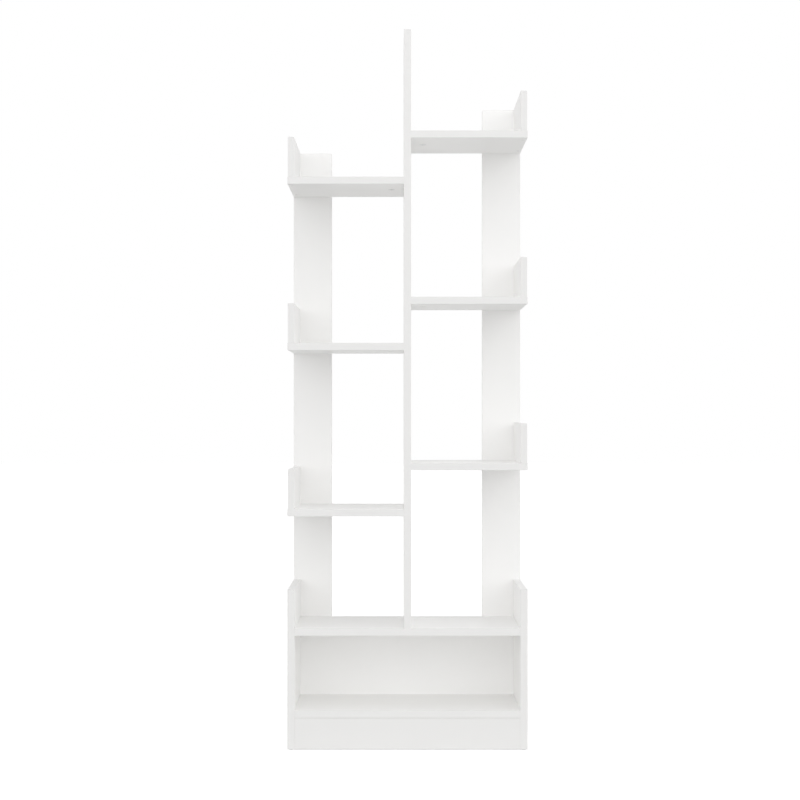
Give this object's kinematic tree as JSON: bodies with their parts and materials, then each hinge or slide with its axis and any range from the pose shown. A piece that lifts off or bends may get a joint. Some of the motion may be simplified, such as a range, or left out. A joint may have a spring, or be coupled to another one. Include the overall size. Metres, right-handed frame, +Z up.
{
  "type": "tree shaped bookcase",
  "caption": "Tall white bookcase: an open base box, a centre divider with staggered shelves on both sides, short end boards on the shelves, and two rear uprights.",
  "frame": {"origin": "on the floor, under the middle of the object's box", "axes": "+Z up, +X to the right seen from the front, +Y from the front to the rear"},
  "size_m": [0.5, 0.24, 1.5],
  "materials": {
    "white_board": "particleboard faced and edged in satin white melamine",
    "back_board": "thin hardboard with a white painted face",
    "zinc_alloy": "die-cast zinc alloy, dull",
    "plated_steel": "bright zinc plated",
    "beech": "plain turned beech",
    "glide_plastic": "moulded light grey plastic on a steel nail"
  },
  "bodies": {
    "root": {"base_left_side": "white_board", "base_right_side": "white_board", "base_top": "white_board", "base_bottom": "white_board", "plinth": "white_board", "centre_divider": "white_board", "left_rear_upright": "white_board", "right_rear_upright": "white_board", "left_low_shelf": "white_board", "left_low_end_board": "white_board", "left_mid_shelf": "white_board", "left_mid_end_board": "white_board", "left_top_shelf": "white_board", "left_top_end_board": "white_board", "right_low_shelf": "white_board", "right_low_end_board": "white_board", "right_mid_shelf": "white_board", "right_mid_end_board": "white_board", "right_top_shelf": "white_board", "right_top_end_board": "white_board", "base_back": "back_board", "shelf_cam_housings": "zinc_alloy", "shelf_cam_bolts": "plated_steel", "shelf_dowels": "beech", "base_cam_housings": "zinc_alloy", "base_cam_bolts": "plated_steel", "base_dowels": "beech", "plinth_cam_housings": "zinc_alloy", "plinth_cam_bolts": "plated_steel", "plinth_dowels": "beech", "divider_dowels": "beech", "divider_screws": "plated_steel", "end_board_screws": "plated_steel", "upright_screws": "plated_steel", "glide_feet": "glide_plastic"}
  },
  "joints": []
}
